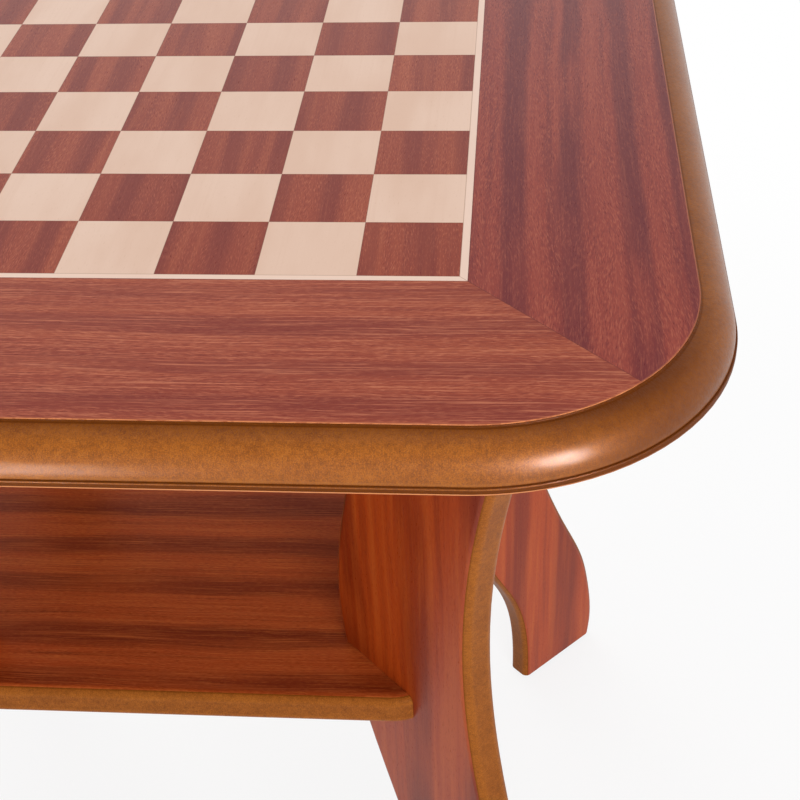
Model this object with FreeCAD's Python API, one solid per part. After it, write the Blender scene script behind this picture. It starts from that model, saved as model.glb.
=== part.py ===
import FreeCAD, Part
import math
import os

# Chess table. A square top with an inlaid board and a moulded edge stands on four flat, S-curved legs
# that are set on its diagonals. A square shelf is let into the legs by cross-halving joints.
# Millimetres, +Z up, +X to the right, -Y to the front. The origin is on the floor, on the table's axis.

# Board: the squares, the pale line round them and the wide border round that
SQUARE = 50.0
SQUARES_ALONG_SIDE = 8
LINE_WIDTH = 4.0
BORDER_WIDTH = 110.0
VENEER = 0.6

# Top: a core board with a moulded edge, veneered above and below
TABLE_HEIGHT = 770.0
TOP_CORE = 22.0
FIELD_CORNER_RADIUS = 108.0
MOULDING_WIDTH = 19.0
STEP_DROP = 1.8
LIP_HEIGHT = 3.5
LIP_PROUD = 1.0
COVE_SHARE = 0.8
LIP_ROUND_SHARE = 0.6

# Legs: flat boards with rounded edges. Each point of a long edge is a share of the leg's height and a
# share of the reach of its foot, both from the foot upwards.
PANEL_CORE = 22.0
EDGE_ROUND = 6.0
EDGE_ROUND_LIMIT_SHARE = 0.4
FOOT_REACH = 429.0
OUTER_EDGE_SHARES = [
    (0.0, 0.994),
    (0.036, 1.0),
    (0.093, 0.989),
    (0.158, 0.961),
    (0.231, 0.905),
    (0.328, 0.832),
    (0.5, 0.734),
    (0.675, 0.69),
    (0.789, 0.704),
    (0.879, 0.737),
    (1.0, 0.8),
]
INNER_EDGE_SHARES = [
    (0.0, 0.774),
    (0.066, 0.77),
    (0.118, 0.755),
    (0.176, 0.718),
    (0.209, 0.688),
    (0.326, 0.591),
    (0.46, 0.485),
    (0.574, 0.417),
    (0.632, 0.403),
    (0.688, 0.408),
    (0.769, 0.437),
    (0.877, 0.489),
    (1.0, 0.56),
]

# Felt pads under the feet
PAD_THICKNESS = 3.0
PAD_INSET = 9.0
PAD_WIDTH_SHARE = 0.72

# Shelf: its corners and the legs are slotted into each other, half the overlap each
SHELF_HEIGHT = 443.0
SHELF_CORNER_RADIUS = 35.0
HALVING_OVERLAP = 70.0
HALVING_CLEARANCE = 0.2

# Cleats: two hardwood bars at the head of each leg
CLEAT_LENGTH = 76.0
CLEAT_WIDTH = 22.0
CLEAT_HEIGHT = 25.0
CLEAT_CHAMFER = 6.0
BOLT_PLACE_SHARES = (-0.34, 0.34)
SCREW_PLACE_SHARES = (-0.13, 0.13)

# Bolts that draw the cleats up against the top, with their washers and threaded inserts
BOLT_DIAMETER = 6.0
BOLT_HEAD_SHARE = 1.75
BOLT_HEAD_HEIGHT_SHARE = 0.55
BOLT_CROWN_SHARE = 0.6
BOLT_SOCKET_SHARE = 0.67
BOLT_SOCKET_DEPTH_SHARE = 0.35
BOLT_HOLE_CLEARANCE = 0.4
THREAD_CLEARANCE = 0.05
THREAD_GRIP_SHARE = 0.8
WASHER_DIAMETER = 12.0
WASHER_THICKNESS = 1.6
INSERT_DIAMETER = 10.0
INSERT_LENGTH = 13.0

# Countersunk screws that hold the cleats to the legs
SCREW_DIAMETER = 4.0
SCREW_HEAD_SHARE = 2.0
SCREW_CORE_SHARE = 0.7
SCREW_BITE_SHARE = 0.42
SCREW_TIP_SHARE = 0.4
SCREW_CLEARANCE = 0.2

# Dowels that place each leg under the top
DOWEL_DIAMETER = 8.0
DOWEL_IN_TOP = 12.0
DOWEL_IN_LEG = 18.0
DOWEL_PLACE_SHARES = (-0.28, 0.28)
DOWEL_CHAMFER_SHARE = 0.15

# Length by which a cutting tool runs past the face that it opens
OVERRUN = 10.0

top_thickness = TOP_CORE + 2 * VENEER
top_underside = TABLE_HEIGHT - top_thickness
board_half = SQUARE * SQUARES_ALONG_SIDE / 2
line_half = board_half + LINE_WIDTH
field_half = line_half + BORDER_WIDTH
top_half = field_half + MOULDING_WIDTH
top_corner_radius = FIELD_CORNER_RADIUS + MOULDING_WIDTH

leg_thickness = PANEL_CORE + 2 * VENEER
leg_face = leg_thickness / 2
core_face = PANEL_CORE / 2
leg_foot = PAD_THICKNESS
leg_height = top_underside - leg_foot
edge_round = min(EDGE_ROUND, EDGE_ROUND_LIMIT_SHARE * leg_thickness)

# Each diagonal covers this share of its length along X and along Y
diagonal_share = math.sqrt(0.5)

# Sides and corners of the table, a quarter turn apart, from +X towards +Y
sides = ("right", "back", "left", "front")
corners = ("back_right", "back_left", "front_left", "front_right")
centre = FreeCAD.Vector()


def upwards(length=1):
    """Vector along +Z, which is only a direction where no length is given."""
    return FreeCAD.Vector(0, 0, length)


def sideways(length=1):
    """Vector along +Y, which is only a direction where no length is given."""
    return FreeCAD.Vector(0, length, 0)


def block(low, high):
    """Box between two corners."""
    size = FreeCAD.Vector(*high) - FreeCAD.Vector(*low)
    return Part.makeBox(size.x, size.y, size.z, FreeCAD.Vector(*low))


def turned(shape, quarters):
    """Copy of a shape, turned about the table's axis by a number of quarter turns."""
    copy = shape.copy()
    copy.rotate(centre, upwards(), 90 * quarters)
    return copy


def to_sides(shapes):
    """Copies of the shapes of the right-hand side for all sides, side by side."""
    return [turned(shape, quarters) for quarters in range(len(sides)) for shape in shapes]


def to_corners(shapes):
    """Copies of shapes that lie along +X for all corners, on the diagonals."""
    return [turned(shape, quarters + 0.5) for quarters in range(len(corners)) for shape in shapes]


def mirrored(shape):
    """Copy of a shape for the other face of a leg that lies along +X."""
    return shape.mirror(centre, sideways())


def turned_profile(points):
    """Solid of revolution about +Z from a closed outline of (radius, height) points."""
    rim = [FreeCAD.Vector(radius, 0, height) for radius, height in points]
    outline = Part.makePolygon(rim + rim[:1])
    return Part.Face(outline).revolve(centre, upwards(), 360)


def rounded_square(half, radius, bottom, height):
    """Upright board with a square outline and round corners, centred on the table's axis."""
    flat = half - radius
    middle = flat + radius * diagonal_share
    side = Part.makeLine(FreeCAD.Vector(half, -flat, bottom), FreeCAD.Vector(half, flat, bottom))
    corner = Part.Arc(
        FreeCAD.Vector(half, flat, bottom),
        FreeCAD.Vector(middle, middle, bottom),
        FreeCAD.Vector(flat, half, bottom),
    ).toShape()
    return Part.Face(Part.Wire(to_sides([side, corner]))).extrude(upwards(height))


def wedge():
    """Quarter of the top between two mitre lines, for the right-hand side."""
    low = FreeCAD.Vector(top_half, -top_half, top_underside)
    high = FreeCAD.Vector(top_half, top_half, top_underside)
    apex = FreeCAD.Vector(0, 0, top_underside)
    outline = Part.makePolygon([apex, low, high, apex])
    return Part.Face(outline).extrude(upwards(top_thickness))


# Board veneers
veneer_bottom = TABLE_HEIGHT - VENEER


def board_ring(outer, inner_half):
    """Veneer ring between an outer board and the square opening inside it."""
    opening = block((-inner_half, -inner_half, veneer_bottom), (inner_half, inner_half, TABLE_HEIGHT))
    return outer.cut(opening)


def squares(dark):
    """All squares of one colour. The front right corner square is dark."""
    found = []
    for column in range(SQUARES_ALONG_SIDE):
        for row in range(SQUARES_ALONG_SIDE):
            if ((column + row) % 2 == 1) == dark:
                x = column * SQUARE - board_half
                y = row * SQUARE - board_half
                found.append(block((x, y, veneer_bottom), (x + SQUARE, y + SQUARE, TABLE_HEIGHT)))
    return found


field_sheet = rounded_square(field_half, FIELD_CORNER_RADIUS, veneer_bottom, VENEER)
line_sheet = block((-line_half, -line_half, veneer_bottom), (line_half, line_half, TABLE_HEIGHT))
border_ring = board_ring(field_sheet, line_half)
line_ring = board_ring(line_sheet, board_half)


# Core board of the top, with its moulded edge
def moulding_section(along):
    """Section of the moulded edge of the right-hand side, outside the veneered field."""

    def point(out, down):
        return FreeCAD.Vector(field_half + out, along, TABLE_HEIGHT - down)

    cove = COVE_SHARE * (STEP_DROP - VENEER)
    cove_waist = cove * (1 - diagonal_share)
    lip_round = LIP_ROUND_SHARE * LIP_PROUD
    round_waist = lip_round * (1 - diagonal_share)
    quirk = MOULDING_WIDTH - LIP_PROUD
    lip_top = top_thickness - LIP_HEIGHT
    bottom = top_thickness - VENEER
    ovolo = Part.BezierCurve()
    ovolo.setPoles([point(quirk, lip_top), point(quirk, STEP_DROP), point(cove, STEP_DROP)])
    ovolo.setWeight(2, diagonal_share)
    edges = [
        Part.makeLine(point(0, bottom), point(MOULDING_WIDTH, bottom)),
        Part.makeLine(point(MOULDING_WIDTH, bottom), point(MOULDING_WIDTH, lip_top + lip_round)),
        Part.Arc(
            point(MOULDING_WIDTH, lip_top + lip_round),
            point(MOULDING_WIDTH - round_waist, lip_top + round_waist),
            point(MOULDING_WIDTH - lip_round, lip_top),
        ).toShape(),
        Part.makeLine(point(MOULDING_WIDTH - lip_round, lip_top), point(quirk, lip_top)),
        ovolo.toShape(),
        Part.Arc(
            point(cove, STEP_DROP),
            point(cove_waist, STEP_DROP - cove_waist),
            point(0, STEP_DROP - cove),
        ).toShape(),
        Part.makeLine(point(0, STEP_DROP - cove), point(0, bottom)),
    ]
    return Part.Face(Part.Wire(edges))


def moulded_board():
    """Field of the core board with the moulding run along its sides and round its corners."""
    flat = field_half - FIELD_CORNER_RADIUS
    side = moulding_section(-flat).extrude(sideways(2 * flat))
    corner = moulding_section(flat).revolve(FreeCAD.Vector(flat, flat, 0), upwards(), 90)
    field = rounded_square(field_half, FIELD_CORNER_RADIUS, top_underside + VENEER, TOP_CORE)
    return field.multiFuse(to_sides([side, corner])).removeSplitter()


# Legs, made along +X and then turned onto the diagonals
def long_edge(shares):
    """Smooth curve of one long edge of a leg, from the foot to the head."""
    curve = Part.BSplineCurve()
    curve.interpolate([
        FreeCAD.Vector(reach_share * FOOT_REACH, 0, leg_foot + height_share * leg_height)
        for height_share, reach_share in shares
    ])
    return curve


outer_edge = long_edge(OUTER_EDGE_SHARES)
inner_edge = long_edge(INNER_EDGE_SHARES)
head_middle = (outer_edge.EndPoint.x + inner_edge.EndPoint.x) / 2
head_width = outer_edge.EndPoint.x - inner_edge.EndPoint.x


def leg_layer(low, high):
    """Layer of the rounded leg between two distances from its middle plane."""
    outline = [
        outer_edge.toShape(),
        Part.makeLine(outer_edge.EndPoint, inner_edge.EndPoint),
        inner_edge.toShape(),
        Part.makeLine(inner_edge.StartPoint, outer_edge.StartPoint),
    ]
    blank = Part.Face(Part.Wire(outline)).extrude(sideways(leg_thickness))
    blank.translate(sideways(-leg_face))
    curved = [edge for edge in blank.Edges if edge.Curve.TypeId == "Part::GeomBSplineCurve"]
    rounded = blank.makeFillet(edge_round, curved)
    return rounded.common(block((0, low, 0), (FOOT_REACH + OVERRUN, high, TABLE_HEIGHT)))


# Shelf and its joints with the legs
shelf_underside = SHELF_HEIGHT - leg_thickness
shelf_level = Part.makeLine(
    FreeCAD.Vector(0, 0, SHELF_HEIGHT - leg_face),
    FreeCAD.Vector(FOOT_REACH, 0, SHELF_HEIGHT - leg_face),
)
halving_start = inner_edge.toShape().distToShape(shelf_level)[1][0][0].x
halving_middle = halving_start + HALVING_OVERLAP / 2
shelf_reach = halving_start + HALVING_OVERLAP
shelf_half = (shelf_reach - SHELF_CORNER_RADIUS) * diagonal_share + SHELF_CORNER_RADIUS

leg_slot = block(
    (0, -leg_thickness, shelf_underside),
    (halving_middle, leg_thickness, SHELF_HEIGHT + HALVING_CLEARANCE),
)
slot_half = leg_face + HALVING_CLEARANCE
shelf_slot = block(
    (halving_middle, -slot_half, shelf_underside - OVERRUN),
    (shelf_reach + OVERRUN, slot_half, SHELF_HEIGHT + OVERRUN),
)


def shelf_layer(bottom, top):
    """Layer of the rounded, slotted shelf between two heights."""
    board = rounded_square(shelf_half, SHELF_CORNER_RADIUS, shelf_underside, leg_thickness)
    level_faces = [face for face in board.Faces if abs(face.normalAt(0, 0).z) > diagonal_share]
    rims = [edge for face in level_faces for edge in face.Edges]
    rounded = board.makeFillet(edge_round, rims)
    layer = rounded.common(block((-shelf_half, -shelf_half, bottom), (shelf_half, shelf_half, top)))
    return layer.cut(Part.makeCompound(to_corners([shelf_slot])))


# Fixings at the head of a leg, on its left-hand face as seen from the table's middle
bolt_line = leg_face + (CLEAT_WIDTH - CLEAT_CHAMFER) / 2
bolt_grip = THREAD_GRIP_SHARE * INSERT_LENGTH
bolt_places = [
    FreeCAD.Vector(head_middle + share * CLEAT_LENGTH, bolt_line, top_underside)
    for share in BOLT_PLACE_SHARES
]
screw_bite = SCREW_BITE_SHARE * leg_thickness
screw_places = [
    FreeCAD.Vector(head_middle + share * CLEAT_LENGTH, leg_face, top_underside - CLEAT_HEIGHT / 2)
    for share in SCREW_PLACE_SHARES
]
dowel_places = [
    FreeCAD.Vector(head_middle + share * head_width, 0, top_underside) for share in DOWEL_PLACE_SHARES
]


def placed(shape, places):
    """Copies of a shape, one at each place."""
    return [shape.translated(place) for place in places]


def bolt():
    """Round-headed bolt with a hexagon socket, its shank pointing up from the cleat's underside."""
    head_radius = BOLT_HEAD_SHARE * BOLT_DIAMETER / 2
    head_height = BOLT_HEAD_HEIGHT_SHARE * BOLT_DIAMETER
    seat = -CLEAT_HEIGHT - WASHER_THICKNESS
    crown = seat - head_height
    body = turned_profile([
        (0, crown),
        (head_radius * BOLT_CROWN_SHARE, crown),
        (head_radius, seat - head_height * (1 - BOLT_CROWN_SHARE)),
        (head_radius, seat),
        (BOLT_DIAMETER / 2, seat),
        (BOLT_DIAMETER / 2, bolt_grip),
        (0, bolt_grip),
    ])
    spread = BOLT_SOCKET_SHARE * BOLT_DIAMETER / math.sqrt(3)
    hexagon = [
        FreeCAD.Vector(spread * math.cos(turn * math.pi / 3), spread * math.sin(turn * math.pi / 3), crown)
        for turn in range(7)
    ]
    depth = BOLT_SOCKET_DEPTH_SHARE * BOLT_DIAMETER
    return body.cut(Part.Face(Part.makePolygon(hexagon)).extrude(upwards(depth)))


def tube(outer_radius, inner_radius, bottom, height):
    """Upright ring, such as a washer or a threaded insert."""
    outside = Part.makeCylinder(outer_radius, height, upwards(bottom))
    return outside.cut(Part.makeCylinder(inner_radius, height, upwards(bottom)))


def screw(clearance):
    """Countersunk screw along +Z, its tip at the top. A clearance makes it the tool for its own hole."""
    shank = SCREW_DIAMETER / 2 + clearance
    core = SCREW_CORE_SHARE * SCREW_DIAMETER / 2 + clearance
    head = SCREW_HEAD_SHARE * SCREW_DIAMETER / 2 + clearance
    tip = SCREW_TIP_SHARE * screw_bite
    return turned_profile([
        (0, -CLEAT_WIDTH),
        (head, -CLEAT_WIDTH),
        (shank, head - shank - CLEAT_WIDTH),
        (shank, 0),
        (core, 0),
        (core, screw_bite - tip),
        (0, screw_bite + clearance),
    ])


def screw_in_leg(clearance):
    """Screw laid across the leg, from the cleat's outer face inwards."""
    laid = screw(clearance)
    laid.rotate(centre, FreeCAD.Vector(1, 0, 0), 90)
    return laid


def dowel():
    """Plain dowel with chamfered ends, half in the leg and half in the top."""
    radius = DOWEL_DIAMETER / 2
    chamfer = DOWEL_CHAMFER_SHARE * DOWEL_DIAMETER
    return turned_profile([
        (0, -DOWEL_IN_LEG),
        (radius - chamfer, -DOWEL_IN_LEG),
        (radius, chamfer - DOWEL_IN_LEG),
        (radius, DOWEL_IN_TOP - chamfer),
        (radius - chamfer, DOWEL_IN_TOP),
        (0, DOWEL_IN_TOP),
    ])


def cleat():
    """Hardwood bar with a chamfered lower edge, bored for its bolts and screws."""
    start = head_middle - CLEAT_LENGTH / 2
    bottom = top_underside - CLEAT_HEIGHT
    far_face = leg_face + CLEAT_WIDTH
    outline = [
        (leg_face, top_underside),
        (far_face, top_underside),
        (far_face, bottom + CLEAT_CHAMFER),
        (far_face - CLEAT_CHAMFER, bottom),
        (leg_face, bottom),
        (leg_face, top_underside),
    ]
    section = Part.makePolygon([FreeCAD.Vector(start, y, z) for y, z in outline])
    bar = Part.Face(section).extrude(FreeCAD.Vector(CLEAT_LENGTH, 0, 0))
    hole_radius = BOLT_DIAMETER / 2 + BOLT_HOLE_CLEARANCE
    bolt_hole = Part.makeCylinder(hole_radius, CLEAT_HEIGHT, upwards(-CLEAT_HEIGHT))
    holes = placed(bolt_hole, bolt_places) + placed(screw_in_leg(SCREW_CLEARANCE), screw_places)
    return bar.cut(Part.makeCompound(holes))


def pad():
    """Felt strip with round ends, set in from the outline of the foot."""
    radius = PAD_WIDTH_SHARE * leg_thickness / 2
    heel = inner_edge.StartPoint.x + PAD_INSET + radius
    toe = outer_edge.StartPoint.x - PAD_INSET - radius
    strip = block((heel, -radius, 0), (toe, radius, PAD_THICKNESS))
    ends = [Part.makeCylinder(radius, PAD_THICKNESS, FreeCAD.Vector(x, 0, 0)) for x in (heel, toe)]
    return strip.multiFuse(ends).removeSplitter()


left_bolts = placed(bolt(), bolt_places)
left_washers = placed(
    tube(WASHER_DIAMETER / 2, BOLT_DIAMETER / 2 + BOLT_HOLE_CLEARANCE, -CLEAT_HEIGHT - WASHER_THICKNESS,
         WASHER_THICKNESS),
    bolt_places,
)
left_inserts = placed(
    tube(INSERT_DIAMETER / 2, BOLT_DIAMETER / 2 + THREAD_CLEARANCE, 0, INSERT_LENGTH), bolt_places
)
left_screws = placed(screw_in_leg(0), screw_places)
leg_dowels = placed(dowel(), dowel_places)
insert_holes = placed(Part.makeCylinder(INSERT_DIAMETER / 2, INSERT_LENGTH), bolt_places)
screw_holes = placed(screw_in_leg(SCREW_CLEARANCE), screw_places)


def both_faces(shapes):
    """Pieces of both faces of a leg, from those of its left-hand face."""
    return shapes + [mirrored(shape) for shape in shapes]


def bored_leg_layer(low, high):
    """Layer of a leg with its shelf slot, dowel holes and screw holes."""
    tools = [leg_slot] + leg_dowels + both_faces(screw_holes)
    return leg_layer(low, high).cut(Part.makeCompound(tools))


top_holes = Part.makeCompound(to_corners(both_faces(insert_holes) + leg_dowels))
underside_sheet = rounded_square(top_half, top_corner_radius, top_underside, VENEER)
left_cleat = cleat()
left_veneer = bored_leg_layer(core_face, leg_face)

nodes = {
    "top_panel": moulded_board().cut(top_holes),
    "underside_veneer": underside_sheet.cut(top_holes),
    "dark_squares": Part.makeCompound(squares(dark=True)),
    "light_squares": Part.makeCompound(squares(dark=False)),
    "shelf_panel": shelf_layer(shelf_underside + VENEER, SHELF_HEIGHT - VENEER),
    "shelf_top_veneer": shelf_layer(SHELF_HEIGHT - VENEER, SHELF_HEIGHT),
    "shelf_underside_veneer": shelf_layer(shelf_underside, shelf_underside + VENEER),
    "leg_dowels": Part.makeCompound(to_corners(leg_dowels)),
    "cleat_bolts": Part.makeCompound(to_corners(both_faces(left_bolts))),
    "cleat_washers": Part.makeCompound(to_corners(both_faces(left_washers))),
    "cleat_screws": Part.makeCompound(to_corners(both_faces(left_screws))),
    "top_inserts": Part.makeCompound(to_corners(both_faces(left_inserts))),
}
for side, quarter in zip(sides, to_sides([wedge()])):
    nodes[f"border_veneer_{side}"] = border_ring.common(quarter)
    nodes[f"line_inlay_{side}"] = line_ring.common(quarter)

leg_pieces = {
    "leg_panel_{}": bored_leg_layer(-core_face, core_face),
    "leg_veneer_{}_left": left_veneer,
    "leg_veneer_{}_right": mirrored(left_veneer),
    "leg_cleat_{}_left": left_cleat,
    "leg_cleat_{}_right": mirrored(left_cleat),
    "foot_pad_{}": pad(),
}
for name, piece in leg_pieces.items():
    for corner, standing in zip(corners, to_corners([piece])):
        nodes[name.format(corner)] = standing

os.makedirs("parts", exist_ok=True)
for node, shape in nodes.items():
    shape.exportStep(f"parts/{node}.step")
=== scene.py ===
import math

import bmesh
import bpy
from mathutils import Matrix, Vector


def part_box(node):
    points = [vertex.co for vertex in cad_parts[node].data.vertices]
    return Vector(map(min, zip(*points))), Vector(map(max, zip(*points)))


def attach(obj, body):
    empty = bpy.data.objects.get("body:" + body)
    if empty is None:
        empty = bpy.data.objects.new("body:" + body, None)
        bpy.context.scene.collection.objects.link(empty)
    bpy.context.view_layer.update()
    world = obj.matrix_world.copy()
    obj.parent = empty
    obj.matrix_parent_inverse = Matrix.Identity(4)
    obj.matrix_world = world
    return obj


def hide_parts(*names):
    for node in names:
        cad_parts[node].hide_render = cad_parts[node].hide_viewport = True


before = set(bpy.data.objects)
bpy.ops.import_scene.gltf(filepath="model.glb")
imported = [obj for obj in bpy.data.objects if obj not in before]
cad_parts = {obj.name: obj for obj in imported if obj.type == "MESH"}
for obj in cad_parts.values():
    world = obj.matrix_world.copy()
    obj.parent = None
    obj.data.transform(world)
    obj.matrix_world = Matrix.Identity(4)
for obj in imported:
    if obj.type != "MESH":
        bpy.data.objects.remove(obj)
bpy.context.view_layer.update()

# Core board of the top: a fibreboard panel, routed all round with a small step, a large round, a quirk and
# a lip. The bare fibre of the edge is stained golden brown and lacquered. Painted shade darkens it below
# the step, in the cove and quirk, on the lip and on the sides and corners; a thin line above the lip is
# a painted highlight.
board_low, board_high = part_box("top_panel")
field_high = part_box("border_veneer_right")[1]
table_top = field_high.z
field_half = field_high.x
moulding_width = board_high.x - field_half
veneer = table_top - board_high.z
core_bottom = table_top - board_low.z
field_radius = 0.108
field_flat = field_half - field_radius
step_drop = 0.0018
cove = 0.00096
lip_top = 0.0197
lip_proud = 0.001
lip_round = 0.0006
quirk = moulding_width - lip_proud
cove_steps = 5
ovolo_steps = 28
lip_steps = 4
corner_steps = 40
crease_angle = math.radians(28)
weld = 1e-5

# Distances over which the painted shade and highlight of the moulding fade in, and the wander of the stain
step_shadow_reach = (0.015, 0.001)
stain_wander = 0.002
quirk_line = (0.0005, 0.0002)
arris_line = (0.0009, 0.0003)
arris_above_lip = 0.0012
shaded_part = (0.009, 0.017)
stain_relief = 0.00002
# Stain colours; the dark one also paints the shade and the pale one also the highlight on moulding and edges
stain_gold = (0.330, 0.097, 0.0097, 1)
stain_deep = (0.254, 0.069, 0.0065, 1)
stain_and_shade_dark = (0.095, 0.021, 0.002, 1)
stain_speck = (0.12, 0.030, 0.003, 1)
stain_and_highlight_pale = (0.445, 0.150, 0.0235, 1)


class Shade:
    """A socket of a material's node tree that can stand in Python sums, each of which adds a Math node."""

    def __init__(self, tree, socket):
        self.tree = tree
        self.socket = socket

    def node(self, kind, settings, sockets, output=0):
        """Adds a node, gives it its settings first and then its sockets, and returns one of its outputs."""
        made = self.tree.nodes.new("ShaderNode" + kind)
        for name, value in settings.items():
            setattr(made, name, value)
        for name, value in sockets.items():
            if isinstance(value, Shade):
                self.tree.links.new(value.socket, made.inputs[name])
            else:
                made.inputs[name].default_value = value
        return Shade(self.tree, made.outputs[output])

    def math(self, operation, *values):
        return self.node("Math", {"operation": operation}, dict(enumerate((self,) + values)))

    def __add__(self, other):
        return self.math("ADD", other)

    def __radd__(self, other):
        return self.math("ADD", other)

    def __sub__(self, other):
        return self.math("SUBTRACT", other)

    def __rsub__(self, other):
        return self.math("MULTIPLY_ADD", -1.0, other)

    def __mul__(self, other):
        return self.math("MULTIPLY", other)

    def __rmul__(self, other):
        return self.math("MULTIPLY", other)

    def clear(self, low, high):
        """0 below low and 1 above high, or the other way round where low is the larger."""
        limits = {"Value": self, "From Min": low, "From Max": high}
        return self.node("MapRange", {"interpolation_type": "SMOOTHSTEP"}, limits)

    def tint(self, under, over):
        """Colour that goes from under to over as this value goes from 0 to 1."""
        return self.node("Mix", {"data_type": "RGBA"}, {0: self, 6: under, 7: over}, 2)

    def vector(self, operation, *values):
        return self.node("VectorMath", {"operation": operation}, dict(enumerate((self,) + values)))

    def along(self, direction):
        """Length of a vector along a direction."""
        return self.node("VectorMath", {"operation": "DOT_PRODUCT"}, {0: self, 1: direction}, "Value")

    def noise(self, scale, detail=2.0, roughness=0.5):
        """Soft random value between 0 and 1 at a place, with a scale for each direction."""
        place = self.vector("MULTIPLY", scale)
        sockets = {"Vector": place, "Scale": 1.0, "Detail": detail, "Roughness": roughness}
        return self.node("TexNoise", {"noise_dimensions": "3D"}, sockets)


def new_finish(name):
    """Empty material with its surface shader, and the place on the object that its patterns follow."""
    finish = bpy.data.materials.new(name)
    finish.use_nodes = True
    shader = finish.node_tree.nodes["Principled BSDF"]
    place = finish.node_tree.nodes.new("ShaderNodeTexCoord").outputs["Object"]
    return finish, shader, Shade(finish.node_tree, place)


def lay_on(shader, colour, roughness, height, relief, constants):
    """Links what varies over a surface to its shader, and sets what stays the same."""
    colour.tree.links.new(colour.socket, shader.inputs["Base Color"])
    colour.tree.links.new(roughness.socket, shader.inputs["Roughness"])
    bump = height.node("Bump", {}, {"Height": height, "Distance": relief, "Strength": 1.0})
    colour.tree.links.new(bump.socket, shader.inputs["Normal"])
    for name, value in constants.items():
        shader.inputs[name].default_value = value


def stained_board(name, layout, gloss):
    """Stained and lacquered fibreboard. layout gives, for a place, the place of its fibres, which lie along
    the third direction there, how dark it is from stain and painted shade, how pale from painted highlight,
    and how much lacquer is missing."""
    finish, shader, place = new_finish(name)
    fibres, dark, pale, bare = layout(place)
    cloud = place.noise((38, 38, 60), 3.0, 0.6)
    mottle = place.noise((330, 330, 330), 3.0, 0.65)
    hair = fibres.noise((1500, 1500, 380), 2.0, 0.6)
    speck = place.noise((1900, 1900, 1900), 2.0, 0.6)
    colour = cloud.clear(0.3, 0.7).tint(stain_deep, stain_gold)
    colour = (mottle.clear(0.5, 0.7) * 0.4).tint(colour, stain_speck)
    colour = (mottle.clear(0.5, 0.3) * 0.35).tint(colour, stain_and_highlight_pale)
    colour = (hair.clear(0.52, 0.68) * 0.4).tint(colour, stain_speck)
    colour = (hair.clear(0.48, 0.33) * 0.4).tint(colour, stain_and_highlight_pale)
    colour = (speck.clear(0.52, 0.64) * 0.5).tint(colour, stain_speck)
    colour = (speck.clear(0.48, 0.36) * 0.5).tint(colour, stain_and_highlight_pale)
    # Painted highlight and painted shade from the layout, over the stain
    colour = pale.tint(colour, stain_and_highlight_pale)
    colour = dark.tint(colour, stain_and_shade_dark)
    worn = hair.clear(0.4, 0.6) * 0.35 + speck.clear(0.42, 0.58) * 0.25
    lacquer = (0.4 + worn - bare * 0.9).math("MAXIMUM", 0.0) * gloss
    place.tree.links.new(lacquer.socket, shader.inputs["Coat Weight"])
    constants = {"Specular IOR Level": 0.05, "Coat IOR": 1.35, "Coat Roughness": 0.28}
    lay_on(shader, colour, 0.4 + hair * 0.1 + speck * 0.1, hair + speck, stain_relief, constants)
    return finish


def beside_field(place):
    """Nearest point of the veneered field's outline, a rounded square, the way out and how far out."""
    flat = place.vector("MAXIMUM", (-field_flat, -field_flat, 0))
    flat = flat.vector("MINIMUM", (field_flat, field_flat, 0))
    past = place.vector("MULTIPLY", (1, 1, 0)).vector("SUBTRACT", flat)
    way = past.vector("NORMALIZE")
    outline = way.vector("MULTIPLY", (field_radius, field_radius, 0)).vector("ADD", flat)
    return outline, way, past.along(way) - field_radius


def moulding_layout(place):
    """Fibres down the moulding, painted shade below the veneer, in the cove and quirk, on the lip, on the
    sides and corners and low on the front and back, and a painted highlight at its arris.
    """
    outline, way, out = beside_field(place)
    down = table_top - place.along((0, 0, 1))
    fibres = outline.vector("ADD", down.node("CombineXYZ", {}, {2: out + down}))
    uneven = place.noise((140, 140, 140), 2.0) * stain_wander
    lengthwise = way.along((0, 1, 0)).math("POWER", 2.0)
    # Painted shadow of the step below the veneer's edge, strong on the front and back and weak on the sides
    step_shadow_strength = 0.12 + lengthwise * 0.43
    step = (out + uneven).clear(*step_shadow_reach) * down.clear(lip_top, step_drop) * step_shadow_strength
    # Painted shade in the quirk, in the cove under the veneer's edge and on the upright face of the lip
    quirk_shade = (down - lip_top).math("ABSOLUTE").clear(*quirk_line)
    lip = down.clear(lip_top + lip_round * lengthwise, lip_top + lip_round * (lengthwise + 1))
    # Painted highlight: a thin pale line just above the lip
    arris = (down - lip_top + arris_above_lip).math("ABSOLUTE").clear(*arris_line)
    cove_shade = out.clear(cove * 1.7, cove) * 0.3
    hollow_shade = step + cove_shade + quirk_shade * 0.65 + lip * 0.85
    # Painted shade: the sides and, most of all, the corners darker, and the lower part of the front and back
    painted_side_shade = (1 - lengthwise) * (0.31 + lengthwise * 1.9)
    painted_side_shade = painted_side_shade + down.clear(*shaded_part) * lengthwise * 0.15
    return fibres, (hollow_shade + painted_side_shade).math("MINIMUM", 0.9), arris * 0.3, hollow_shade


def shaded_piece(name, shape, finish, node):
    """Piece of the table from a finished bmesh, in place of a solid, and smooth except across sharp edges."""
    for face in shape.faces:
        face.smooth = True
    for edge in shape.edges:
        edge.smooth = edge.is_manifold and edge.calc_face_angle() < crease_angle
    mesh = bpy.data.meshes.new(name)
    shape.to_mesh(mesh)
    shape.free()
    mesh.materials.append(finish)
    piece = bpy.data.objects.new(name, mesh)
    bpy.context.scene.collection.objects.link(piece)
    piece.modifiers.new("even_faces", "WEIGHTED_NORMAL").keep_sharp = True
    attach(piece, "root")
    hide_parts(node)


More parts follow.
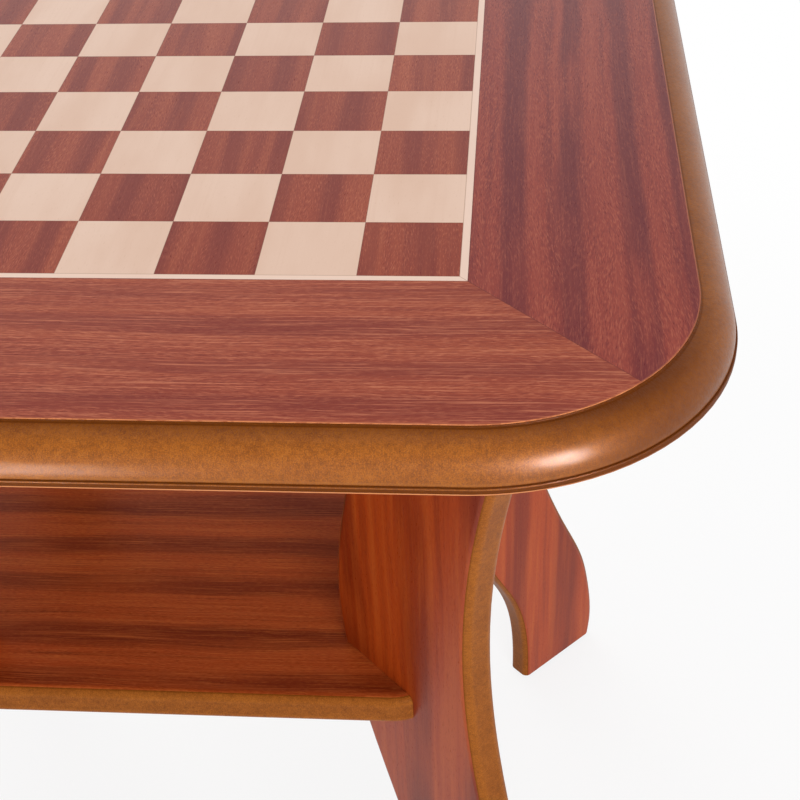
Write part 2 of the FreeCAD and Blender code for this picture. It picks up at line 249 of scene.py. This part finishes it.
def quarter(steps):
    """Sine and cosine of the angles that divide a right angle into equal steps."""
    angles = [step / steps * math.pi / 2 for step in range(steps + 1)]
    return [(math.sin(angle), math.cos(angle)) for angle in angles]


moulding = [(0, veneer)]
moulding += [(cove * (1 - c), step_drop - cove * (1 - s)) for s, c in quarter(cove_steps)]
moulding += [
    (cove + (quirk - cove) * s, lip_top - (lip_top - step_drop) * c) for s, c in quarter(ovolo_steps)[1:]
]
moulding += [
    (moulding_width - lip_round * (1 - s), lip_top + lip_round * (1 - c)) for s, c in quarter(lip_steps)
]
moulding += [(moulding_width, core_bottom), (0, core_bottom)]

core = bmesh.new()
corners = [core.verts.new((field_half + out, -field_flat, table_top - down)) for out, down in moulding]
section = [core.edges.new(pair) for pair in zip(corners, corners[1:])]
for quarter_turn in range(4):
    turn = Matrix.Rotation(quarter_turn * math.pi / 2, 3, "Z")
    run = bmesh.ops.extrude_edge_only(core, edges=section)["geom"]
    ends = [part for part in run if isinstance(part, bmesh.types.BMVert)]
    section = [part for part in run if isinstance(part, bmesh.types.BMEdge)]
    bmesh.ops.translate(core, verts=ends, vec=turn @ Vector((0, 2 * field_flat, 0)))
    swept = bmesh.ops.spin(core, geom=ends + section, cent=turn @ Vector((field_flat, field_flat, 0)),
                           axis=(0, 0, 1), angle=math.pi / 2, steps=corner_steps)
    section = [part for part in swept["geom_last"] if isinstance(part, bmesh.types.BMEdge)]
bmesh.ops.remove_doubles(core, verts=core.verts, dist=weld)
bmesh.ops.holes_fill(core, edges=[edge for edge in core.edges if edge.is_boundary], sides=0)
bmesh.ops.recalc_face_normals(core, faces=core.faces)
moulded_stain_and_shade = stained_board("stained_and_shaded_moulding", moulding_layout, 1.0)
shaded_piece("moulded_top", core, moulded_stain_and_shade, "top_panel")

# Border of the board: four strips of ribbon-striped red-brown veneer, glued to the core and mitred at the
# corners, with the grain along each strip. The outer edge is cut back to the step, and chipped a little.
sapele_dark = {
    "wine": (0.122, 0.010, 0.013, 1),
    "red": (0.160, 0.016, 0.010, 1),
    "orange": (0.155, 0.012, 0.002, 1),
    "brown": (0.120, 0.013, 0.003, 1),
}
sapele_mid = {
    "wine": (0.242, 0.034, 0.021, 1),
    "red": (0.275, 0.045, 0.019, 1),
    "orange": (0.360, 0.046, 0.005, 1),
    "brown": (0.410, 0.072, 0.013, 1),
}
sapele_pale = {
    "wine": (0.300, 0.053, 0.030, 1),
    "red": (0.350, 0.074, 0.030, 1),
    "orange": (0.450, 0.085, 0.012, 1),
    "brown": (0.490, 0.110, 0.024, 1),
}
sapele_bright = {
    "wine": (0.41, 0.110, 0.060, 1),
    "red": (0.54, 0.170, 0.085, 1),
    "orange": (0.55, 0.140, 0.022, 1),
    "brown": (0.58, 0.170, 0.038, 1),
}
sapele_pore = (0.095, 0.008, 0.006, 1)
sapele_raw = (0.76, 0.29, 0.11, 1)
line_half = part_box("line_inlay_right")[1].x
grain_sway = 0.012
mitre_line = (0.0005, 0.0002)
glue_line = (0.0006, 0.0002)
veneer_side = (0.00004, 0.0002)
chipped_rim = (-0.0008, -0.0003)
sapele_relief = 0.00003
along_x = (1, 0, 0)
along_y = (0, 1, 0)
along_z = (0, 0, 1)


def grain_place(u, v, seed):
    """Place in the veneer: along its grain, across it, and in a leaf of its own."""
    return u.node("CombineXYZ", {}, {0: u, 1: v, 2: seed})


def sapele(u, v, seed, look):
    """Ribbon-striped veneer on lengths u along and v across the grain: its colour, roughness and relief."""
    tone, period, ribbon, lines, streaks, flecks = look
    dark = sapele_dark[tone]
    pale = sapele_pale[tone]
    bright = sapele_bright[tone]
    sway = grain_place(u, v, seed).noise((5, 13, 1), 2.0) - 0.5
    bent = v + sway * grain_sway
    leaf = grain_place(u, bent, seed)
    drift = leaf.noise((2.5, 18, 1), 2.0) * 5.0
    wave = (bent * (2 * math.pi / period) + drift).math("SINE")
    fade = leaf.noise((7, 20, 1), 1.0).clear(0.15, 0.5)
    band = wave.clear(-0.3, 0.8) * fade
    soft = leaf.noise((5, 140, 1), 2.0)
    line = leaf.noise((9, 900, 1), 3.0, 0.65)
    streak = leaf.noise((20, 1000, 1), 3.0, 0.7)
    lean = leaf.noise((14, 80, 4), 1.0).clear(0.42, 0.58)
    skewed = [
        grain_place(u, bent + u * skew, seed + 3).noise((250, 1950, 1), 2.0) for skew in (0.09, -0.09)
    ]
    fleck = lean * skewed[0] + (1 - lean) * skewed[1]
    pore = leaf.noise((150, 1900, 1), 1.0).clear(0.62, 0.74)

    colour = (band * ribbon).tint(sapele_mid[tone], dark)
    colour = (soft.clear(0.48, 0.68) * (1 - band * 0.7) * 0.6).tint(colour, pale)
    colour = (soft.clear(0.48, 0.3) * ribbon * 0.5).tint(colour, dark)
    colour = (line.clear(0.55, 0.7) * lines).tint(colour, dark)
    colour = (line.clear(0.45, 0.3) * lines).tint(colour, bright)
    colour = (streak.clear(0.54, 0.64) * streaks).tint(colour, bright)
    colour = (streak.clear(0.45, 0.34) * streaks * 0.6).tint(colour, dark)
    colour = (fleck.clear(0.52, 0.66) * (1 - band * 0.5) * flecks).tint(colour, bright)
    colour = (fleck.clear(0.48, 0.34) * (1 - band * 0.5) * flecks).tint(colour, dark)
    colour = (pore * 0.25).tint(colour, sapele_pore)
    return colour, 0.25 + fleck * 0.08 + pore * 0.15, fleck * 0.5 + streak * 0.5 - pore * 0.6


board_gloss = {"Specular IOR Level": 0.27}
leg_gloss = {"Specular IOR Level": 0.18}


def sapele_finish(name, along, across, seed, look, gloss, edging=None):
    """Material of a lacquered veneer strip. edging changes its colour near its cut edges."""
    finish, shader, place = new_finish(name)
    colour, roughness, height = sapele(place.along(along), place.along(across), seed, look)
    if edging:
        colour = edging(place, colour)
    lay_on(shader, colour, roughness, height, sapele_relief, gloss)
    return finish


def border_edging(place, colour):
    """Bare wood in short chips along the outer edge, and thin glue lines at the mitres and at the line."""
    reach = [place.along(axis).math("ABSOLUTE") for axis in (along_x, along_y)]
    mitre = (reach[0] - reach[1]).math("ABSOLUTE").clear(*mitre_line)
    inner = (reach[0].math("MAXIMUM", reach[1]) - line_half).clear(*glue_line)
    colour = ((mitre + inner).math("MINIMUM", 1.0) * 0.55).tint(colour, sapele_pore)
    chip = place.noise((170, 170, 170), 3.0, 0.7).clear(0.42, 0.56)
    _, way, out = beside_field(place)
    lengthwise = way.along(along_y).math("POWER", 2.0)
    side = (table_top - place.along(along_z)).clear(*veneer_side) * (0.2 + chip * 0.65)
    side = side * (0.3 + lengthwise * 0.7)
    rim = out.clear(*chipped_rim) * (0.26 - lengthwise * 0.1)
    return (side + rim).math("MINIMUM", 0.9).tint(colour, sapele_raw)


def dress(node, finish):
    """Gives a solid its finish."""
    for material_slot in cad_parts[node].material_slots:
        material_slot.material = finish


# Tone, period of the ribbon in metres, then the strength of the ribbon, long lines, streaks and flecks
ribbon_look = ("wine", 0.029, 0.95, 0.12, 0.14, 0.48)
streaked_look = ("red", 0.030, 0.5, 0.34, 0.6, 0.42)
border_grains = {
    "front": (along_x, along_y, 1.3, streaked_look),
    "right": (along_y, along_x, 5.7, ribbon_look),
    "back": (along_x, along_y, 9.1, streaked_look),
    "left": (along_y, along_x, 13.9, ribbon_look),
}
for side, (along, across, seed, look) in border_grains.items():
    finish = sapele_finish("border_" + side, along, across, seed, look, board_gloss, border_edging)
    dress("border_veneer_" + side, finish)

# Line round the squares: narrow strips of pale maple let in between the border and the squares and mitred
# at the corners. Maple is close-grained and nearly plain.
maple_pale = (0.72, 0.51, 0.40, 1)
maple_line = (0.80, 0.60, 0.50, 1)
maple_warm = (0.66, 0.44, 0.33, 1)
maple_fleck = (0.56, 0.34, 0.21, 1)
glue_brown = (0.30, 0.13, 0.06, 1)
board_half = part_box("dark_squares")[1].x
strip_mitre = (0.00035, 0.0001)
strip_side = (0.0004, 0.0001)
maple_relief = 0.00002


def maple(u, v, seed):
    """Close-grained pale veneer on lengths along and across the grain."""
    leaf = grain_place(u, v, seed)
    cloud = leaf.noise((7, 24, 1), 3.0, 0.6)
    line = leaf.noise((6, 520, 1), 2.0)
    fleck = leaf.noise((260, 1500, 1), 1.0)
    colour = cloud.clear(0.35, 0.7).tint(maple_pale, maple_warm)
    colour = (line.clear(0.5, 0.75) * 0.3).tint(colour, maple_warm)
    colour = (fleck.clear(0.64, 0.76) * 0.35).tint(colour, maple_fleck)
    return colour, 0.28 + line * 0.08, line * 0.4 + fleck * 0.5


def inlay_finish(name, along, across, seed):
    """Maple strip with brown glue lines along both sides and at its mitred ends."""
    finish, shader, place = new_finish(name)
    colour, roughness, height = maple(place.along(along), place.along(across), seed)
    colour = (0.45 + height * 0.3).tint(colour, maple_line)
    reach = [place.along(axis).math("ABSOLUTE") for axis in (along_x, along_y)]
    outward = reach[0].math("MAXIMUM", reach[1])
    mitre = (reach[0] - reach[1]).math("ABSOLUTE").clear(*strip_mitre)
    inner = (outward - board_half).clear(*strip_side)
    colour = ((mitre + inner).math("MINIMUM", 1.0) * 0.6).tint(colour, glue_brown)
    lay_on(shader, colour, roughness, height, maple_relief, board_gloss)
    return finish


for side, (along, across, seed, _) in border_grains.items():
    dress("line_inlay_" + side, inlay_finish("inlay_" + side, along, across, seed))

# Squares: sixty-four leaves of veneer, dark and pale by turns, cut square and glued edge to edge with the
# grain from front to back. Each leaf comes from another place in the bundle, so no two are alike.
square = board_half / 4
rim_shares = (0.494, 0.499)
square_look = ("red", 0.028, 0.75, 0.1, 0.15, 0.42)


def square_finish(name, wood, seed):
    """Start of the material of the squares of one colour: a leaf for each, its tone, and a rim of glue."""
    finish, shader, place = new_finish(name)
    grid = place.vector("MULTIPLY", (1 / square, 1 / square, 0))
    cell = grid.vector("FLOOR")
    chance = cell.node("TexWhiteNoise", {"noise_dimensions": "3D"}, {"Vector": cell}, "Color")
    u = place.along(along_y) + chance.along(along_x) * 3.0
    v = place.along(along_x) + chance.along(along_y) * 3.0
    colour, roughness, height = wood(u, v, seed)
    tone = chance.along(along_z)
    inside = grid.vector("FRACTION")
    edge = [(inside.along(axis) - 0.5).math("ABSOLUTE") for axis in (along_x, along_y)]
    rim = edge[0].math("MAXIMUM", edge[1]).clear(*rim_shares)
    return finish, shader, colour, tone, rim, roughness, height


def dark_wood(u, v, seed):
    """Ribbon-striped leaf for a dark square."""
    return sapele(u, v, seed, square_look)


finish, shader, colour, tone, rim, roughness, height = square_finish("dark_squares", dark_wood, 21.0)
colour = (tone * 0.3).tint(colour, sapele_dark["red"])
colour = (rim * 0.6).tint(colour, sapele_pore)
lay_on(shader, colour, roughness, height, sapele_relief, board_gloss)
dress("dark_squares", finish)

finish, shader, colour, tone, rim, roughness, height = square_finish("light_squares", maple, 33.0)
colour = (tone * 0.35).tint(colour, maple_warm)
colour = (rim * 0.45).tint(colour, glue_brown)
lay_on(shader, colour, roughness, height, maple_relief, board_gloss)
dress("light_squares", finish)

# Underside veneer: one balancing leaf under the whole top, flush with the lip. Its cut edge took no stain and
# shows as a bright line at the very bottom of the front and back; on the sides it is darkened, a painted
# shade.
cut_side = (-0.0003, -0.0001)


def cut_edge(place, colour):
    """Bare wood on the upright edge of the leaf, with painted shade over most of it on the sides."""
    _, way, out = beside_field(place)
    # Painted shade: little bare wood on the sides, so the edge there is mostly dark
    bare = 0.12 + way.along(along_y).math("POWER", 6.0) * 0.58
    return (out - moulding_width).clear(*cut_side).tint(colour, bare.tint(stain_and_shade_dark, sapele_raw))


finish = sapele_finish("underside_leaf", along_x, along_y, 41.0, streaked_look, leg_gloss, cut_edge)
dress("underside_veneer", finish)

# Legs: four S-curved boards on the diagonals, with the long edges rounded over. The core's edge is stained
# like the moulding, with a dark line where the stain stops at the veneer, a painted highlight where the edge
# rounds over and painted shade along its flat middle.
leg_corners = ("front_right", "back_right", "back_left", "front_left")
shelf_low, shelf_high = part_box("shelf_panel")
panel_half = (shelf_high.z - shelf_low.z) / 2
half_root = math.sqrt(0.5)
joint_soft = 0.0007
joint_sharp = 0.0002
edge_shading_reach = (0.0065, 0.004)
edge_gloss = 0.22


def edge_stain_and_shade(fibres, from_middle):
    """Golden with a painted highlight where the edge is rounded, browner with painted shade along its middle,
    with a thin dark line at the veneers.
    """
    joint = from_middle.clear(panel_half - joint_soft, panel_half - joint_sharp)
    # Painted highlight where the edge rounds over and painted shade along its flat middle
    flat = from_middle.clear(*edge_shading_reach)
    return fibres, joint * 0.35 + 0.19 + flat * 0.08, (1 - flat) * 0.12, joint


def leg_layout(place):
    """Fibres across the edge of whichever leg a place belongs to."""
    square_to_legs = ((half_root, half_root, 0), (half_root, -half_root, 0))
    across = [place.along(axis).math("ABSOLUTE") for axis in square_to_legs]
    from_middle = across[0].math("MINIMUM", across[1])
    return edge_stain_and_shade(grain_place(place.along(along_z), 0.0, from_middle), from_middle)


leg_stain_and_shade = stained_board("stained_and_shaded_leg_edge", leg_layout, edge_gloss)


def smooth_copy(node, finish):
    """Piece with the shape of a solid, welded and shaded smooth across its round edges."""
    shape = bmesh.new()
    shape.from_mesh(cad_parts[node].data)
    bmesh.ops.remove_doubles(shape, verts=shape.verts, dist=weld)
    shaded_piece(node + "_piece", shape, finish, node)


for corner in leg_corners:
    smooth_copy("leg_panel_" + corner, leg_stain_and_shade)

# Leg veneers: one leaf of orange-brown ribbon veneer on each face of each leg, glued to the core and cut to
# the same S-curves. The grain runs up the leg, and no two leaves are alike.
diagonals = {
    "front_right": (half_root, -half_root, 0),
    "back_right": (half_root, half_root, 0),
    "back_left": (-half_root, half_root, 0),
    "front_left": (-half_root, -half_root, 0),
}
plain_look = ("orange", 0.065, 0.72, 0.1, 0.07, 0.14)
leaf_seed = 50.0
next_leaf = 3.7
for corner, outward in diagonals.items():
    for face in ("left", "right"):
        leaf_seed += next_leaf
        finish = sapele_finish(f"leg_{corner}_{face}", along_z, outward, leaf_seed, plain_look, leg_gloss)
        smooth_copy(f"leg_veneer_{corner}_{face}", finish)

# Shelf: a square fibreboard panel with stained edges, painted with the same highlight and shade as the legs'
# edges, and veneered above and below. The slots in its corners are pushed onto the slots in the legs, so
# that shelf and legs hold each other.
shelf_middle = (shelf_low.z + shelf_high.z) / 2
shelf_look = ("brown", 0.042, 0.65, 0.6, 0.4, 0.35)


def shelf_layout(place):
    """Fibres upright on the edge of the shelf."""
    from_middle = (place.along(along_z) - shelf_middle).math("ABSOLUTE")
    return edge_stain_and_shade(place, from_middle)


smooth_copy("shelf_panel", stained_board("stained_and_shaded_shelf_edge", shelf_layout, edge_gloss))
for face, seed in (("top", 87.0), ("underside", 93.0)):
    finish = sapele_finish("shelf_" + face, along_x, along_y, seed, shelf_look, leg_gloss)
    smooth_copy(f"shelf_{face}_veneer", finish)

# Cleats and dowels: plain bare beech. A bar is screwed to each face of a leg's head, to bolt it up to the
# top, and dowels in the end of the leg place it there.
beech_pale = (0.50, 0.32, 0.18, 1)
beech_deep = (0.38, 0.22, 0.11, 1)
beech_ray = (0.24, 0.12, 0.05, 1)
beech_relief = 0.00005


def beech_finish(name, along, across):
    """Bare beech with its short dark ray flecks."""
    finish, shader, place = new_finish(name)
    leaf = grain_place(place.along(along), place.along(across), place.along(along_z))
    cloud = leaf.noise((14, 160, 160), 3.0)
    ray = leaf.noise((240, 1300, 1300), 1.0)
    colour = cloud.clear(0.35, 0.68).tint(beech_pale, beech_deep)
    colour = (ray.clear(0.62, 0.72) * 0.6).tint(colour, beech_ray)
    lay_on(shader, colour, 0.5 + cloud * 0.15, cloud + ray, beech_relief, {"Specular IOR Level": 0.3})
    return finish


beech_finishes = {
    "front_right": beech_finish("beech_one", diagonals["front_right"], diagonals["back_right"]),
    "back_right": beech_finish("beech_two", diagonals["back_right"], diagonals["front_right"]),
}
beech_finishes["back_left"] = beech_finishes["front_right"]
beech_finishes["front_left"] = beech_finishes["back_right"]
for corner in leg_corners:
    for face in ("left", "right"):
        dress(f"leg_cleat_{corner}_{face}", beech_finishes[corner])
dress("leg_dowels", beech_finish("beech_dowel", along_z, along_x))

# Bolts, washers and screws: zinc-plated steel. The bolts go up through washers and cleats into the top, and
# the screws hold the cleats to the legs.
zinc_bright = (0.46, 0.47, 0.49, 1)
zinc_dull = (0.30, 0.31, 0.32, 1)
metal_relief = 0.00001


def metal_finish(name, bright, dull):
    """Plated metal, dull in patches and finely scratched."""
    finish, shader, place = new_finish(name)
    patch = place.noise((400, 400, 400), 3.0, 0.6)
    scratch = place.noise((900, 900, 5000), 2.0)
    colour = patch.clear(0.4, 0.7).tint(bright, dull)
    lay_on(shader, colour, 0.24 + patch * 0.2, scratch, metal_relief, {"Metallic": 1.0})
    return finish


zinc = metal_finish("zinc_plate", zinc_bright, zinc_dull)
for node in ("cleat_bolts", "cleat_washers", "cleat_screws"):
    smooth_copy(node, zinc)

# Threaded inserts: bushes of brass-coloured alloy, set into the core of the top from below. The bolts are
# screwed into them, so that the legs can be taken off.
alloy_bright = (0.66, 0.47, 0.19, 1)
alloy_dull = (0.45, 0.31, 0.12, 1)
dress("top_inserts", metal_finish("insert_alloy", alloy_bright, alloy_dull))

# Foot pads: strips of dark felt, glued under the ends of the legs, which keep the feet from marking a floor.
# Felt is a mat of loose hairs, without a weave.
felt_light = (0.085, 0.055, 0.035, 1)
felt_dark = (0.03, 0.019, 0.012, 1)
felt_relief = 0.0003
felt, shader, place = new_finish("felt")
tuft = place.noise((1400, 1400, 1400), 3.0, 0.7)
hair = place.noise((500, 3200, 3200), 2.0)
colour = (tuft * 0.6 + hair * 0.4).clear(0.35, 0.65).tint(felt_dark, felt_light)
lay_on(shader, colour, 0.85 + hair * 0.1, tuft + hair, felt_relief, {"Sheen Weight": 0.4})
for corner in leg_corners:
    dress("foot_pad_" + corner, felt)

# Studio: a pale paper floor that keeps the table's shadow, a white surround, and large soft lamps overhead,
# in front, at the right and behind. Two small windows near the top show only in its moulded edge.
floor_half = 8.0
shadow_reach = (0.5, 1.6)
shadow_white = 0.82
paper_relief = 0.0001
paper_grey = (0.86, 0.86, 0.86, 1)
paper_white = (0.88, 0.88, 0.88, 1)
floor_shape = bmesh.new()
bmesh.ops.create_grid(floor_shape, x_segments=1, y_segments=1, size=floor_half)
floor_mesh = bpy.data.meshes.new("floor")
floor_shape.to_mesh(floor_mesh)
floor_shape.free()
floor = bpy.data.objects.new("floor", floor_mesh)
bpy.context.scene.collection.objects.link(floor)
paper, shader, place = new_finish("floor_paper")
tooth = place.noise((90, 90, 90), 2.0)
colour = tooth.tint(paper_grey, paper_white)
lay_on(shader, colour, 0.7 + tooth * 0.1, tooth, paper_relief, {"Specular IOR Level": 0.1})
floor_mesh.materials.append(paper)
glow = place.node("Emission", {}, {"Color": (1, 1, 1, 1), "Strength": 1.0})


def seen(tree):
    """1 for the rays by which a background is seen, mirrored or seen through glass, and 0 for others."""
    rays = tree.nodes.new("ShaderNodeLightPath")
    kinds = [Shade(tree, rays.outputs[f"Is {kind} Ray"]) for kind in ("Camera", "Glossy", "Transmission")]
    return kinds[0].math("MAXIMUM", kinds[1]).math("MAXIMUM", kinds[2])


far = place.node("VectorMath", {"operation": "LENGTH"}, {0: place}, "Value").clear(*shadow_reach)
shown = seen(paper.node_tree) * (shadow_white + far * (1 - shadow_white))
above = place.node("MixShader", {}, {0: shown, 1: Shade(paper.node_tree, shader.outputs[0]), 2: glow})
below = place.node("NewGeometry", {}, {}, "Backfacing")
surface = place.node("MixShader", {}, {0: below, 1: above, 2: place.node("BsdfTransparent", {}, {})})
paper.node_tree.links.new(surface.socket, paper.node_tree.nodes["Material Output"].inputs["Surface"])

world = bpy.data.worlds.new("studio")
bpy.context.scene.world = world
world.use_nodes = True
backdrop = world.node_tree.nodes["Background"]
direction = Shade(world.node_tree, world.node_tree.nodes.new("ShaderNodeTexCoord").outputs["Generated"])
ceiling = direction.along(along_z).clear(0.3, 0.75)
wall = ceiling.tint((1, 1, 1, 1), (0.5, 0.5, 0.5, 1))
world.node_tree.links.new(wall.socket, backdrop.inputs["Color"])
world.node_tree.links.new((0.6 + seen(world.node_tree) * 0.4).socket, backdrop.inputs["Strength"])

# Place, target, width, height, power and spread in degrees, first of the lamps that light the table and then
# of the windows that are only mirrored
lamps = {
    "overhead": ((0.1, 0.5, 3.3), (0.0, 0.0, 0.75), 2.2, 2.2, 43.0, 180),
    "front_fill": ((1.1, -2.4, 1.5), (0.1, -0.2, 0.65), 1.3, 1.1, 38.0, 180),
    "right_fill": ((1.5, -2.2, 0.6), (0.2, 0.1, 0.55), 1.0, 0.8, 12.0, 180),
    "back_fill": ((-1.2, 2.4, 1.3), (0.0, 0.0, 0.5), 1.6, 1.2, 16.0, 180),
}
windows = {
    "right_window": ((0.384, -0.511, 0.817), (0.20, -0.32, 0.75), 0.092, 0.151, 0.24, 50),
    "left_window": ((-0.21, -0.685, 0.695), (-0.03, -0.33, 0.76), 0.29, 0.24, 0.5, 60),
}
mirror = bpy.data.collections.new("moulded_edge")
mirror.objects.link(bpy.data.objects["moulded_top"])
for name, (stand, target, width, height, power, spread) in (lamps | windows).items():
    light = bpy.data.lights.new(name, "AREA")
    light.shape = "RECTANGLE"
    light.size = width
    light.size_y = height
    light.energy = power
    lamp = bpy.data.objects.new(name, light)
    lamp.location = stand
    lamp.rotation_euler = (Vector(target) - Vector(stand)).to_track_quat("-Z", "Y").to_euler()
    lamp.visible_camera = False
    lamp.visible_diffuse = name in lamps
    lamp.visible_glossy = name in windows
    light.spread = math.radians(spread)
    if name in windows:
        lamp.light_linking.receiver_collection = mirror
    bpy.context.scene.collection.objects.link(lamp)

# Camera: held close above the front right corner and looking down over it, with a long lens, so that the
# corner of the board, one leg and the shelf fill the picture.
view_from = Vector((0.2274, -0.7951, 1.1566))
view_along = Vector((-0.07803, 0.78707, -0.61191)).normalized()
view_up = Vector((-0.01417, 0.61284, 0.79008))
view_right = view_along.cross(view_up).normalized()
view_up = view_right.cross(view_along)
lens = bpy.data.cameras.new("camera")
lens.lens = 65.95
lens.sensor_width = 36.0
lens.clip_start = 0.01
camera = bpy.data.objects.new("camera", lens)
camera.matrix_world = Matrix((view_right, view_up, -view_along)).transposed().to_4x4()
camera.location = view_from
bpy.context.scene.collection.objects.link(camera)
bpy.context.scene.camera = camera
bpy.context.scene.view_settings.view_transform = "Standard"
